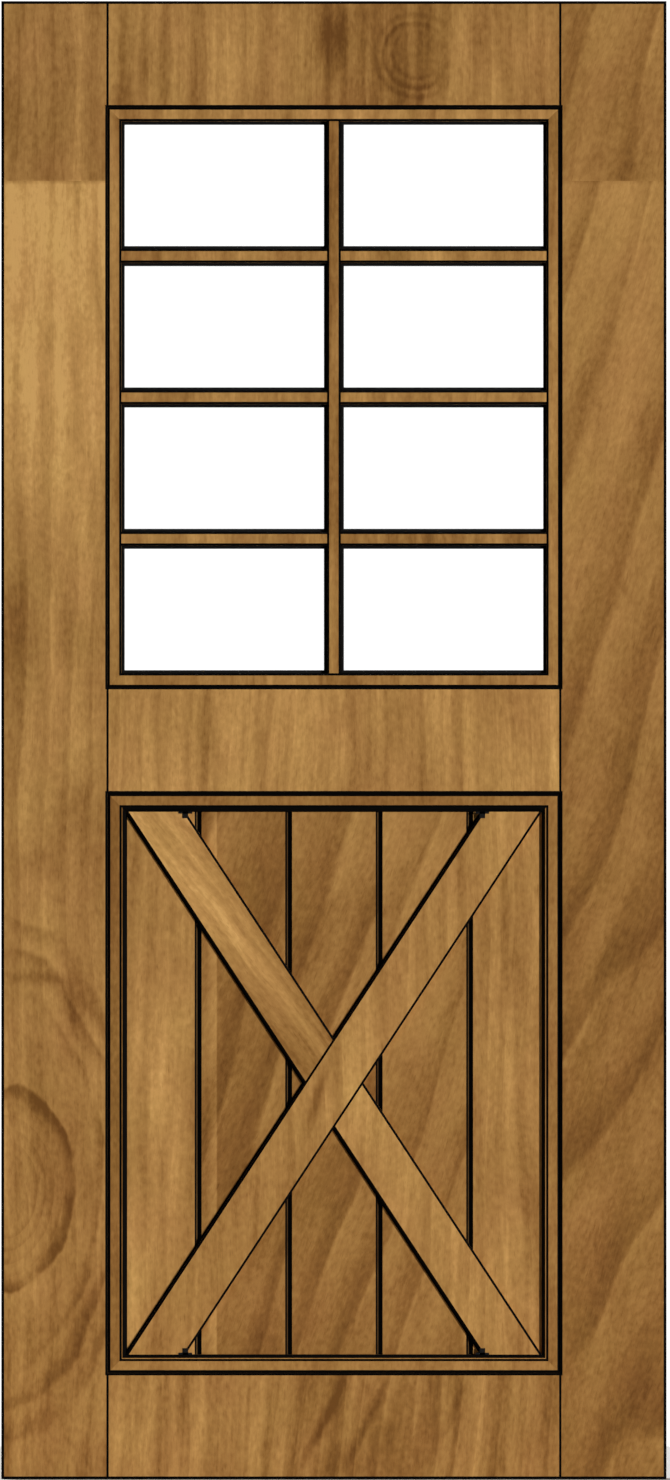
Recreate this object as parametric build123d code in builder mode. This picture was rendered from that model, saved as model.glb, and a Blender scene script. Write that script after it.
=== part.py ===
"""A stile-and-rail wooden door leaf: a divided glazed light above, a braced plank panel below.

Frame: +Z up, +X from the hinge edge to the latch edge, -Y towards the viewer of the front face.
The origin is on the hinge edge, at the foot of the door and the middle of its thickness.
Lengths are in millimetres; IN is one inch.
"""

import os
from math import asin, atan2, hypot, sin

from build123d import *

# The leaf and its five framing boards
door_width = 36 * IN
door_height = 80 * IN
door_thickness = 1.75 * IN
stile_width = 5.75 * IN
top_rail_height = 5.75 * IN
lock_rail_height = 5.75 * IN
bottom_rail_height = 5.75 * IN
lower_opening_height = 31.375 * IN
joint_arris = 0.0625 * IN
outline_arris = 0.15625 * IN
opening_arris = 0.125 * IN

# Blind mortise and tenon joints between rails and stiles
tenon_thickness = 0.625 * IN
tenon_length = 2.75 * IN
tenon_shoulder = 1 * IN
tenon_clearance = 0.15
mortise_end_gap = 2

# The plank panel, held in a groove round the lower opening
plank_count = 5
plank_thickness = 0.75 * IN
plank_bevel = 0.1875 * IN
plank_tongue_length = 0.25 * IN
plank_tongue_thickness = 0.25 * IN
plank_tongue_clearance = 0.2
panel_groove_depth = 0.5 * IN
panel_groove_clearance = 0.2
panel_expansion_gap = 2

# The mitred moulding that frames the planks, on both faces
moulding_width = 1 * IN
moulding_bevel = 0.15625 * IN
moulding_quirk = 0.125 * IN
moulding_fillet = 0.046875 * IN
moulding_lip = 0.1875 * IN
moulding_setback = 0.125 * IN

# The crossbuck planted on the planks, on both faces
brace_width = 2.6875 * IN
brace_thickness = 0.375 * IN
brace_arris = 0.125 * IN

# The glazed light: a mitred sash, glazing bars, panes and beads
sash_width = 0.75 * IN
sash_setback = 0.125 * IN
sash_bevel = 0.125 * IN
bar_width = 0.75 * IN
pane_columns = 2
pane_rows = 4
glass_thickness = 0.25 * IN
glass_edge_gap = 1.5
glazing_rebate = 0.25 * IN

# Places worked out from the sizes above
opening_left = stile_width
opening_right = door_width - stile_width
opening_width = opening_right - opening_left
lower_opening_bottom = bottom_rail_height
lower_opening_top = lower_opening_bottom + lower_opening_height
upper_opening_bottom = lower_opening_top + lock_rail_height
upper_opening_top = door_height - top_rail_height
upper_opening_height = upper_opening_top - upper_opening_bottom
lower_opening = (opening_left, lower_opening_bottom, opening_width, lower_opening_height)
upper_opening = (opening_left, upper_opening_bottom, opening_width, upper_opening_height)

face_level = door_thickness / 2
plank_level = plank_thickness / 2
moulding_level = face_level - moulding_setback
sash_level = face_level - sash_setback
glass_level = glass_thickness / 2

field_left = opening_left + moulding_width
field_bottom = lower_opening_bottom + moulding_width
field_width = opening_width - 2 * moulding_width
field_height = lower_opening_height - 2 * moulding_width

light_left = opening_left + sash_width
light_bottom = upper_opening_bottom + sash_width
light_width = opening_width - 2 * sash_width
light_height = upper_opening_height - 2 * sash_width
pane_width = (light_width - (pane_columns - 1) * bar_width) / pane_columns
pane_height = (light_height - (pane_rows - 1) * bar_width) / pane_rows

touching = 0.001
FRONT, BACK = 1, -1
SIDE_NAMES = {FRONT: "front", BACK: "back"}
EDGE_NAMES = ("bottom", "right", "top", "left")
COLUMN_NAMES = ("left", "right")
ROW_NAMES = ("bottom", "lower", "upper", "top")

os.makedirs("parts", exist_ok=True)


def save(part, name):
    """Labels one finished piece and writes it to its own file."""
    part.label = name
    export_step(part, f"parts/{name}.step")


def elevation(level):
    """The plane of the door's face at a distance towards the viewer from its middle."""
    return Plane.XZ.offset(level)


def face_edges(part, side):
    """The edges round a piece's front or back face."""
    return part.faces().sort_by(Axis.Y)[0 if side == FRONT else -1].edges()


def long_edges(part, side):
    """The two longest edges of a piece's front or back face, the longer one last."""
    return face_edges(part, side).sort_by(SortBy.LENGTH)[-2:]


def on_outline(edge):
    """Whether an edge lies on the outline of the whole leaf."""
    middle = edge.center()
    return min(middle.X, door_width - middle.X, middle.Z, door_height - middle.Z) < touching


def ease_arrises(board):
    """Chamfers the framing board being made, at its joints, on the leaf's outline and round both openings."""
    for side in (FRONT, BACK):
        joint_edges = face_edges(board, side).filter_by(Axis.Z).filter_by(on_outline, reverse=True)
        chamfer(joint_edges, length=joint_arris)
        outline_edges = face_edges(board, side).filter_by(on_outline)
        if outline_edges:
            chamfer(outline_edges, length=outline_arris)
        for opening in (lower_opening, upper_opening):
            with BuildSketch(elevation(side * face_level)) as mouth:
                Polygon(*corners(*opening, -opening_arris), align=None)
            extrude(mouth.sketch, amount=-side * opening_arris, taper=45, mode=Mode.SUBTRACT)


def corners(left, bottom, width, height, inset):
    """The four corners of an upright rectangle drawn in by an inset, from bottom left."""
    low_x, high_x = left + inset, left + width - inset
    low_z, high_z = bottom + inset, bottom + height - inset
    return [(low_x, low_z), (high_x, low_z), (high_x, high_z), (low_x, high_z)]


def mitred_outline(rectangle, edge, width):
    """One side of a mitred frame: a trapezoid along an edge of the rectangle."""
    outer = corners(*rectangle, 0)
    inner = corners(*rectangle, width)
    following = (edge + 1) % len(outer)
    return [outer[edge], outer[following], inner[following], inner[edge]]


def tenon_middle_heights():
    """The middle height of each rail, with the height of its tenon."""
    rails = (
        (0, bottom_rail_height),
        (lower_opening_top, lock_rail_height),
        (upper_opening_top, top_rail_height),
    )
    return [(low + height / 2, height - 2 * tenon_shoulder) for low, height in rails]


# Stiles: the two full-height boards, with blind mortises and a stopped panel groove
with BuildPart() as left_stile:
    with BuildSketch(elevation(face_level)):
        with Locations((stile_width / 2, door_height / 2)):
            Rectangle(stile_width, door_height)
    extrude(amount=-door_thickness)
    ease_arrises(left_stile)
    with BuildSketch(Plane.YZ.offset(opening_left)):
        for middle, tenon_height in tenon_middle_heights():
            with Locations((0, middle)):
                Rectangle(tenon_thickness + 2 * tenon_clearance, tenon_height + 2 * tenon_clearance)
    extrude(amount=-(tenon_length + mortise_end_gap), mode=Mode.SUBTRACT)
    with BuildSketch(Plane.YZ.offset(opening_left)):
        with Locations((0, lower_opening_bottom + lower_opening_height / 2)):
            Rectangle(
                plank_thickness + 2 * panel_groove_clearance,
                lower_opening_height + 2 * panel_groove_depth,
            )
    extrude(amount=-panel_groove_depth, mode=Mode.SUBTRACT)
save(left_stile.part, "left_stile")

with BuildPart() as right_stile:
    mirror(left_stile.part, about=Plane.YZ.offset(door_width / 2))
save(right_stile.part, "right_stile")


# Rails: three boards between the stiles, with a tenon at each end
def make_rail(name, bottom, height, groove_side=0):
    """A rail; groove_side is +1 or -1 where its top or bottom edge takes the planks."""
    middle = bottom + height / 2
    with BuildPart() as rail:
        with BuildSketch(elevation(face_level)):
            with Locations((door_width / 2, middle)):
                Rectangle(opening_width, height)
        extrude(amount=-door_thickness)
        ease_arrises(rail)
        with BuildSketch(elevation(tenon_thickness / 2)):
            with Locations((door_width / 2, middle)):
                Rectangle(opening_width + 2 * tenon_length, height - 2 * tenon_shoulder)
        extrude(amount=-tenon_thickness)
        if groove_side:
            groove_width = plank_thickness + 2 * panel_groove_clearance
            edge_height = middle + groove_side * height / 2
            with BuildSketch(Plane.XY.offset(edge_height)):
                with Locations((door_width / 2, 0)):
                    Rectangle(opening_width, groove_width)
            extrude(amount=-groove_side * panel_groove_depth, mode=Mode.SUBTRACT)
    save(rail.part, name)


make_rail("bottom_rail", 0, bottom_rail_height, groove_side=1)
make_rail("lock_rail", lower_opening_top, lock_rail_height, groove_side=-1)
make_rail("top_rail", upper_opening_top, top_rail_height)


# Planks: tongued and grooved boards with a V at each joint
def make_plank(index):
    """One plank of the panel, counted from the hinge side."""
    pitch = opening_width / plank_count
    is_first, is_last = index == 0, index == plank_count - 1
    into_stile = panel_groove_depth - panel_expansion_gap
    left = opening_left + index * pitch - (into_stile if is_first else 0)
    right = opening_left + (index + 1) * pitch + (into_stile if is_last else 0)
    bottom = lower_opening_bottom - panel_groove_depth
    length = lower_opening_height + 2 * panel_groove_depth - panel_expansion_gap
    slot_length = plank_tongue_length + plank_tongue_clearance
    slot_thickness = plank_tongue_thickness + 2 * plank_tongue_clearance
    with BuildPart() as plank:
        with BuildSketch(Plane.XY.offset(bottom)) as section:
            with Locations(((left + right) / 2, 0)):
                Rectangle(right - left, plank_thickness)
            if not is_first:
                chamfer(section.vertices().group_by(Axis.X)[0], length=plank_bevel)
            if not is_last:
                chamfer(section.vertices().group_by(Axis.X)[-1], length=plank_bevel)
            if not is_last:
                with Locations((right + plank_tongue_length / 2, 0)):
                    Rectangle(plank_tongue_length, plank_tongue_thickness)
            if not is_first:
                with Locations((left + slot_length / 2, 0)):
                    Rectangle(slot_length, slot_thickness, mode=Mode.SUBTRACT)
        extrude(amount=length)
    save(plank.part, f"plank_{index + 1}")


for plank_index in range(plank_count):
    make_plank(plank_index)


# Panel mouldings: four mitred strips on each face, with a quirk, a fillet and a lip beside the planks
def moulding_section(side):
    """The moulding's section, as distances in from the opening's edge and levels from the middle."""
    fillet_start = moulding_width - moulding_lip - moulding_fillet
    quirk_start = fillet_start - moulding_quirk
    section = [
        (0, plank_level),
        (0, moulding_level - moulding_bevel),
        (moulding_bevel, moulding_level),
        (quirk_start, moulding_level),
        (quirk_start + moulding_quirk / 2, moulding_level - moulding_quirk / 2),
        (fillet_start, moulding_level),
        (fillet_start + moulding_fillet, moulding_level),
        (moulding_width, moulding_level - moulding_lip),
        (moulding_width, plank_level),
    ]
    return [(inwards, side * level) for inwards, level in section]


def make_moulding(side, edge):
    """One strip of the moulding round the planks: its section, drawn along the edge and mitred."""
    outer = corners(*lower_opening, 0)
    start_x, start_z = outer[edge]
    end_x, end_z = outer[(edge + 1) % len(outer)]
    along = Vector(end_x - start_x, 0, end_z - start_z)
    inwards = Vector(-along.Z, 0, along.X)
    with BuildPart() as strip:
        with BuildSketch(Plane((start_x, 0, start_z), x_dir=inwards, z_dir=along)):
            Polygon(*moulding_section(side), align=None)
        extrude(amount=along.length)
        with BuildSketch(elevation(side * moulding_level)):
            Polygon(*mitred_outline(lower_opening, edge, moulding_width), align=None)
        extrude(amount=-side * (moulding_level - plank_level), mode=Mode.INTERSECT)
    save(strip.part, f"{EDGE_NAMES[edge]}_moulding_{SIDE_NAMES[side]}")


for side in (FRONT, BACK):
    for edge in range(len(EDGE_NAMES)):
        make_moulding(side, edge)

# Crossbuck: one brace runs corner to corner, and two halves of the other butt against it
brace_angle = atan2(field_height, field_width) + asin(brace_width / hypot(field_width, field_height))
brace_end = brace_width / sin(brace_angle)


def brace_outline(leans_right):
    """A brace's outline, cut level at both ends, leaning right or left as it climbs."""
    foot = 0 if leans_right else field_width - brace_end
    head = field_width - brace_end - foot
    outline = [(foot, 0), (foot + brace_end, 0), (head + brace_end, field_height), (head, field_height)]
    return [(field_left + x, field_bottom + z) for x, z in outline]


def make_crossbuck(side):
    """The three pieces of the crossbuck on one face of the panel."""
    outer_plane = elevation(side * (plank_level + brace_thickness))
    with BuildPart() as through_brace:
        with BuildSketch(outer_plane):
            Polygon(*brace_outline(leans_right=True), align=None)
        extrude(amount=-side * brace_thickness)
        chamfer(long_edges(through_brace, side), length=brace_arris)
    save(through_brace.part, f"through_brace_{SIDE_NAMES[side]}")

    with BuildSketch(outer_plane) as halves:
        Polygon(*brace_outline(leans_right=False), align=None)
        Polygon(*brace_outline(leans_right=True), align=None, mode=Mode.SUBTRACT)
    for name, outline in zip(("lower", "upper"), halves.sketch.faces().sort_by(Axis.Z)):
        with BuildPart() as half_brace:
            extrude(outline, amount=-side * brace_thickness, dir=Vector(0, -1, 0))
            chamfer(long_edges(half_brace, side), length=brace_arris)
        save(half_brace.part, f"{name}_half_brace_{SIDE_NAMES[side]}")


for side in (FRONT, BACK):
    make_crossbuck(side)


# Sash: four mitred members, rebated at the back for the glass
def make_sash_member(edge):
    """One member of the sash round the glazed light."""
    with BuildPart() as member:
        with BuildSketch(elevation(sash_level)):
            Polygon(*mitred_outline(upper_opening, edge, sash_width), align=None)
        extrude(amount=-(sash_level - glass_level))
        with BuildSketch(elevation(glass_level)):
            Polygon(*mitred_outline(upper_opening, edge, sash_width - glazing_rebate), align=None)
        extrude(amount=-(sash_level + glass_level))
        chamfer(long_edges(member, FRONT), length=sash_bevel)
        chamfer(long_edges(member, BACK)[1], length=sash_bevel)
    save(member.part, f"{EDGE_NAMES[edge]}_sash_member")


for edge in range(len(EDGE_NAMES)):
    make_sash_member(edge)


# Glazing bars: T-shaped, with the stem running on into the rebates at both ends
def make_bar(name, middle, length, upright):
    """One glazing bar, upright or level, of a visible length."""
    stem_width = bar_width - 2 * glazing_rebate
    stem_length = length + 2 * glazing_rebate
    with BuildPart() as bar:
        with BuildSketch(elevation(sash_level)):
            with Locations(middle):
                Rectangle(length, bar_width, rotation=90 if upright else 0)
        extrude(amount=-(sash_level - glass_level))
        with BuildSketch(elevation(glass_level)):
            with Locations(middle):
                Rectangle(stem_length, stem_width, rotation=90 if upright else 0)
        extrude(amount=-(sash_level + glass_level))
        chamfer(long_edges(bar, FRONT), length=sash_bevel)
    save(bar.part, name)


def pane_middle(column, row):
    """The middle of one pane, counted from bottom left."""
    return (
        light_left + pane_width / 2 + column * (pane_width + bar_width),
        light_bottom + pane_height / 2 + row * (pane_height + bar_width),
    )


make_bar(
    "upright_glazing_bar",
    (light_left + light_width / 2, light_bottom + light_height / 2),
    light_height,
    upright=True,
)
for column in range(pane_columns):
    for row in range(pane_rows - 1):
        pane_x, pane_z = pane_middle(column, row)
        make_bar(
            f"{COLUMN_NAMES[column]}_glazing_bar_{row + 1}",
            (pane_x, pane_z + (pane_height + bar_width) / 2),
            pane_width,
            upright=False,
        )


# Panes: one sheet of glass in each rebated light, short of the rebate's walls
def make_pane(column, row):
    """One sheet of glass."""
    overlap = 2 * (glazing_rebate - glass_edge_gap)
    with BuildPart() as pane:
        with BuildSketch(elevation(glass_level)):
            with Locations(pane_middle(column, row)):
                Rectangle(pane_width + overlap, pane_height + overlap)
        extrude(amount=-glass_thickness)
    save(pane.part, f"{ROW_NAMES[row]}_{COLUMN_NAMES[column]}_pane")


for column in range(pane_columns):
    for row in range(pane_rows):
        make_pane(column, row)


# Glazing beads: mitred strips at the back that hold each pane in its rebate
def make_beads(name, edges):
    """The beads along the named edges of every pane, as separate strips."""
    with BuildPart() as beads:
        for column in range(pane_columns):
            for row in range(pane_rows):
                pane_x, pane_z = pane_middle(column, row)
                rebate_width = pane_width + 2 * glazing_rebate
                rebate_height = pane_height + 2 * glazing_rebate
                rebate = (pane_x - rebate_width / 2, pane_z - rebate_height / 2, rebate_width, rebate_height)
                with BuildSketch(elevation(-glass_level)):
                    for edge in edges:
                        Polygon(*mitred_outline(rebate, edge, glazing_rebate), align=None)
                extrude(amount=-(sash_level - glass_level))
        for strip in beads.solids():
            chamfer(long_edges(strip, BACK)[0], length=sash_bevel)
    save(beads.part, name)


make_beads("level_glazing_beads", (0, 2))
make_beads("upright_glazing_beads", (1, 3))
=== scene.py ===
# %% [markdown]
# # A wooden door with a glazed light and a braced plank panel
# The joinery is already cut: stiles, rails, sash, bars, planks, mouldings and braces come in as fixed
# solids. This lesson gives each board its own timber, puts glass in the light, and adds the small things
# a joiner adds last: the black seals round the panes, the pins in the glazing beads and the brace clips.

# %% Load the joinery
import math
import bpy
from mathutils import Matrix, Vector


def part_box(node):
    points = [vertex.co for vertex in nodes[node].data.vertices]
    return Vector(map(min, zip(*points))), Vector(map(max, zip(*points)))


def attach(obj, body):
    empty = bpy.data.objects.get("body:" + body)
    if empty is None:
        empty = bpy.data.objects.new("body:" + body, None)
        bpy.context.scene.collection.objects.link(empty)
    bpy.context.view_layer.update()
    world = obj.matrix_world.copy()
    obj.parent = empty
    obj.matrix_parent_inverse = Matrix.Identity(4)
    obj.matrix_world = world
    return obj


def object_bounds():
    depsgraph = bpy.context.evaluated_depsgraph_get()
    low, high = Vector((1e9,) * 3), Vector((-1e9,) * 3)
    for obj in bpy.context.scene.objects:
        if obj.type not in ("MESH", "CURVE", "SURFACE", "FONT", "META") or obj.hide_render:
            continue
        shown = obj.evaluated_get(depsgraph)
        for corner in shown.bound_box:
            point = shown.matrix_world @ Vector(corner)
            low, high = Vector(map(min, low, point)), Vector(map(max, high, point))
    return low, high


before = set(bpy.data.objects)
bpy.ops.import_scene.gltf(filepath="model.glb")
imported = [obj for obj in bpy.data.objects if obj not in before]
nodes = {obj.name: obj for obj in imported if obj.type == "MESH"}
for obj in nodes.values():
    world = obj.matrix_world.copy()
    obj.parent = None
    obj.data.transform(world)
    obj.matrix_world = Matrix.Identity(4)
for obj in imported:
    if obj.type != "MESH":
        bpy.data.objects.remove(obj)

cad_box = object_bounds()
print("boards and panes:", len(nodes), "box:", [tuple(round(v, 4) for v in corner) for corner in cad_box])

# %% [markdown]
# ## The camera
# The picture is a square-on elevation, so nothing in it shrinks with distance. A long lens from far away
# gives the same drawing, and it can still be walked round the door like any camera. The picture's own
# scale comes from the door's outline, measured in its 670 by 1480 pixels.

# %% Picture scale
PICTURE_WIDTH, PICTURE_HEIGHT = 670, 1480
OUTLINE_LEFT, OUTLINE_RIGHT = 1.2, 666.6
OUTLINE_TOP, OUTLINE_BOTTOM = 1.2, 1479.2
door_low, door_high = cad_box
door_width = door_high.x - door_low.x
door_height = door_high.z - door_low.z
metres_across = door_width / (OUTLINE_RIGHT - OUTLINE_LEFT)
metres_down = door_height / (OUTLINE_BOTTOM - OUTLINE_TOP)


def picture_point(across, down):
    """The point of the door's front face that a pixel of the picture shows."""
    x = door_low.x + (across - OUTLINE_LEFT) * metres_across
    z = door_high.z - (down - OUTLINE_TOP) * metres_down
    return Vector((x, door_low.y, z))


print("millimetres a pixel:", round(1000 * metres_across, 4), round(1000 * metres_down, 4))

# %% Long lens
LENS_DISTANCE = 24.0
LENS_REACH = 4 * LENS_DISTANCE
SENSOR_HEIGHT = 36.0
centre = picture_point(PICTURE_WIDTH / 2, PICTURE_HEIGHT / 2)
seen_height = PICTURE_HEIGHT * (metres_across + metres_down) / 2
lens = bpy.data.cameras.new("elevation_camera")
lens.sensor_fit = "VERTICAL"
lens.sensor_height = SENSOR_HEIGHT
lens.lens = SENSOR_HEIGHT * LENS_DISTANCE / seen_height
lens.clip_end = LENS_REACH
camera = bpy.data.objects.new("elevation_camera", lens)
camera.location = centre + Vector((0, -LENS_DISTANCE, 0))
camera.rotation_euler = (math.pi / 2, 0, 0)
bpy.context.scene.collection.objects.link(camera)
bpy.context.scene.camera = camera
print("lens:", round(lens.lens, 1), "mm at", camera.location[:])

# %% [markdown]
# ## Small helpers for node trees
# A material is a graph, and so is a Geometry Nodes tree. A few helpers keep the graphs readable: one adds
# a node and fills its inputs, with a value or with another node's output, and the others do arithmetic.

# %% Node helpers
def add(tree, kind, inputs=None, **settings):
    """Adds a node, applies its settings, then sets or links the inputs that are named or numbered."""
    made = tree.nodes.new(kind)
    for name, value in settings.items():
        setattr(made, name, value)
    for key, value in (inputs or {}).items():
        if isinstance(value, bpy.types.NodeSocket):
            tree.links.new(value, made.inputs[key])
        else:
            made.inputs[key].default_value = value
    return made


def calc(tree, operation, first, second=0.0, third=0.0):
    """One step of arithmetic on numbers."""
    return add(tree, "ShaderNodeMath", {0: first, 1: second, 2: third}, operation=operation).outputs[0]


def smooth_step(tree, value, start, end):
    """A soft switch: 0 at start, 1 at end, whichever is larger."""
    settings = {"Value": value, "From Min": start, "From Max": end}
    return add(tree, "ShaderNodeMapRange", settings, interpolation_type="SMOOTHSTEP").outputs[0]


print("helpers for numbers: add, calc, smooth_step")


# %% Vector helpers
def calc_vector(tree, operation, first, second=(0, 0, 0)):
    """One step of arithmetic on vectors."""
    return add(tree, "ShaderNodeVectorMath", {0: first, 1: second}, operation=operation).outputs[0]


def scale_vector(tree, vector, factor):
    """A vector times a number."""
    return add(tree, "ShaderNodeVectorMath", {0: vector, "Scale": factor}, operation="SCALE").outputs[0]


def length_of(tree, vector):
    """The length of a vector."""
    return add(tree, "ShaderNodeVectorMath", {0: vector}, operation="LENGTH").outputs["Value"]


def part_of(tree, vector, axis):
    """One part of a vector: X, Y or Z."""
    return add(tree, "ShaderNodeSeparateXYZ", {0: vector}).outputs[axis]


def turn_back(tree, vector, angle):
    """A vector turned back by an angle in the plane of the door's face."""
    settings = {"Vector": vector, "Rotation": (0.0, angle, 0.0)}
    return add(tree, "ShaderNodeVectorRotate", settings, rotation_type="EULER_XYZ", invert=True).outputs[0]


print("helpers for vectors: calc_vector, scale_vector, length_of, part_of, turn_back")

# %% [markdown]
# ## Studio
# A pale floor, a white surround, a broad light from the right and a softbox overhead. The right light is
# level and well to the side, so each brace throws a narrow shadow on its left, and the mouldings and the
# sash show their step. Both stand far off, because a near light would leave the far boards darker. A third
# light behind serves whoever walks round the door. The surround looks white to the camera, straight on or
# through the panes, and gives less light than it looks, so that the shadows stay.

# %% Surround
SURROUND_SEEN = 1.1
SURROUND_LIGHT = 0.03
world = bpy.data.worlds.new("white_surround")
bpy.context.scene.world = world
world.use_nodes = True
sky = world.node_tree
sky.nodes.clear()
path = add(sky, "ShaderNodeLightPath")
seen = calc(sky, "MAXIMUM", path.outputs["Is Camera Ray"], path.outputs["Is Transmission Ray"])
level = calc(sky, "MULTIPLY_ADD", seen, SURROUND_SEEN - SURROUND_LIGHT, SURROUND_LIGHT)
surround = add(sky, "ShaderNodeBackground", {"Color": (1, 1, 1, 1), "Strength": level})
add(sky, "ShaderNodeOutputWorld", {"Surface": surround.outputs[0]})
bpy.context.scene.view_settings.view_transform = "Standard"
print("surround:", SURROUND_SEEN, "seen,", SURROUND_LIGHT, "as light")

# %% Lights
middle = (door_low + door_high) / 2


def area_light(name, offset, size, power):
    """A square studio light that faces the middle of the door, at an offset from it in metres."""
    lamp = bpy.data.lights.new(name, "AREA")
    lamp.shape = "SQUARE"
    lamp.size = size
    lamp.energy = power
    holder = bpy.data.objects.new(name, lamp)
    holder.location = middle + Vector(offset)
    holder.rotation_euler = (-Vector(offset)).to_track_quat("-Z", "Y").to_euler()
    bpy.context.scene.collection.objects.link(holder)


area_light("right_light", offset=(8.6, -11.0, 0.8), size=1.2, power=2100)
area_light("overhead_softbox", offset=(0.0, -2.2, 8.5), size=4.0, power=90)
area_light("back_light", offset=(-7.5, 10.0, 7.5), size=1.2, power=2400)

# %% Floor
FLOOR_RADIUS = 1.2
FLOOR_SIDES = 64
FLOOR_COLOUR, FLOOR_ROUGHNESS = (0.86, 0.86, 0.85, 1), 0.9
angles = [side * math.tau / FLOOR_SIDES for side in range(FLOOR_SIDES)]
floor_rim = [
    (middle.x + FLOOR_RADIUS * math.cos(a), middle.y + FLOOR_RADIUS * math.sin(a), door_low.z) for a in angles
]
floor_mesh = bpy.data.meshes.new("studio_floor")
floor_mesh.from_pydata(floor_rim, [], [list(range(FLOOR_SIDES))])
floor = bpy.data.objects.new("studio_floor", floor_mesh)
bpy.context.scene.collection.objects.link(floor)
pale_floor = bpy.data.materials.new("pale_floor")
pale_floor.use_nodes = True
floor_shader = pale_floor.node_tree.nodes["Principled BSDF"]
floor_shader.inputs["Base Color"].default_value = FLOOR_COLOUR
floor_shader.inputs["Roughness"].default_value = FLOOR_ROUGHNESS
floor_mesh.materials.append(pale_floor)
print("floor:", FLOOR_RADIUS, "m round the door, at", door_low.z)

# %% [markdown]
# ## Timber
# Wood is solid, so its pattern is too: growth rings round a pith, blotches and streaks drawn out along the
# grain, fibres, pores and broad shifts of tone. An image would stretch on the edges and repeat on the back,
# while a pattern worked out from the board's own coordinates is right on every face. Each board gets its own
# pith, so its rings cut the face as they do in a real plank: straight lines far from the pith, flames where
# it leans. All of it adds up to one number, the tone, and a ramp of browns turns that number into colour.

# %% Browns
def srgb(red, green, blue):
    """A colour as it is read off a screen, turned into the linear light that shaders use."""
    linear = [((v / 255 + 0.055) / 1.055) ** 2.4 if v > 10 else v / 255 / 12.92 for v in (red, green, blue)]
    return (*linear, 1.0)


WOOD_TONES = (
    (0.00, srgb(104, 66, 26)),
    (0.30, srgb(136, 94, 45)),
    (0.65, srgb(170, 126, 69)),
    (0.86, srgb(190, 144, 82)),
    (1.00, srgb(206, 160, 95)),
)
print("browns on the ramp:", len(WOOD_TONES))

# %% Noise and ramps
NOISE_MIDDLE = 0.5


def noise(tree, point, turns, detail, roughness=0.5):
    """Noise of so many turns a metre across, across and along the grain."""
    scaled = calc_vector(tree, "MULTIPLY", point, turns)
    settings = {"Vector": scaled, "Scale": 1.0, "Detail": detail, "Roughness": roughness}
    return add(tree, "ShaderNodeTexNoise", settings)


def field(tree, point, grain):
    """A number at every point, from noise with one grain's turns and detail."""
    return noise(tree, point, **grain).outputs["Fac"]


def weighted(tree, total, value, middle_value, weight):
    """Adds a field to a total, counted from its middle value."""
    return calc(tree, "MULTIPLY_ADD", calc(tree, "SUBTRACT", value, middle_value), weight, total)


def ramp(tree, value, stops):
    """A ramp of colours along a number from 0 to 1."""
    made = add(tree, "ShaderNodeValToRGB", {"Fac": value})
    elements = made.color_ramp.elements
    elements[0].position, elements[0].color = stops[0]
    elements[1].position, elements[1].color = stops[-1]
    for position, colour in stops[1:-1]:
        elements.new(position).color = colour
    return made.outputs["Color"]


def mix_colours(tree, share, first, second):
    """A blend from the first colour to the second."""
    return add(tree, "ShaderNodeMix", {0: share, 6: first, 7: second}, data_type="RGBA").outputs[2]


def tone_along(tree, point, axis, stops):
    """A tone that changes along one axis of the door, between stops of (metres, tone)."""
    first, last = stops[0][0], stops[-1][0]
    settings = {"Value": part_of(tree, point, axis), "From Min": first, "From Max": last}
    share = add(tree, "ShaderNodeMapRange", settings).outputs[0]
    greys = [((metres - first) / (last - first), (tone, tone, tone, 1.0)) for metres, tone in stops]
    return add(tree, "ShaderNodeSeparateColor", {0: ramp(tree, share, greys)}).outputs[0]


print("noise is counted from its middle value,", NOISE_MIDDLE)

# %% [markdown]
# ## Growth rings
# A ring starts pale, darkens slowly and ends short, so a cut board shows soft bands with one crisp edge and a
# pale line beyond it. A sine would make both edges alike. Here the rings are counted outwards from the pith,
# and what is left of the count after its whole part says where in its ring a point lies. Towards the root
# the rings spread and lean over.

# %% Growth rings
RING_PEAK = 0.9
EARLY_START, EARLY_END = 0.95, 0.12
FAN_EASE = 0.12


def late_wood(tree, count, start, peak):
    """How dark a ring is: it deepens from one share of the ring to another, then fades by the next."""
    turn = calc(tree, "FRACT", count)
    return calc(tree, "MULTIPLY", smooth_step(tree, turn, start, peak), smooth_step(tree, turn, 1.0, peak))


def early_wood(tree, count):
    """How pale a ring's first wood is: a narrow line just past the dark edge of the ring before it."""
    turn = calc(tree, "FRACT", count)
    fading = smooth_step(tree, turn, EARLY_END, 0.0)
    return calc(tree, "MAXIMUM", fading, smooth_step(tree, turn, EARLY_START, 1.0))


def fan_out(tree, point, hub, spread, slope):
    """Moves rings so that below a hub they spread across the board and lean over more."""
    from_point = calc_vector(tree, "SUBTRACT", hub, point)
    below = calc(tree, "MAXIMUM", part_of(tree, from_point, "Z"), 0.0)
    eased = calc(tree, "DIVIDE", below, calc(tree, "ADD", below, FAN_EASE))
    leaning = calc(tree, "MULTIPLY", below, slope)
    sideways = calc(tree, "MULTIPLY_ADD", part_of(tree, from_point, "X"), spread, leaning)
    return calc(tree, "MULTIPLY", sideways, eased)


print("a ring is darkest at", RING_PEAK, "of its width, and the next is pale up to", EARLY_END)

# %% [markdown]
# ## Where a board's grain goes
# A board's coordinates are bent before any pattern is drawn on them: they wander a little, as trunks do, and
# past an end joint they jump to another part of the tree.

# %% Bent coordinates
WANDER_GRAIN = {"turns": (5.0, 5.0, 1.6), "detail": 2.0}
WANDER_REACH = (0.06, 0.06, 0.02)
OTHER_TREE = (0.37, 0.11, 1.9)


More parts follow.
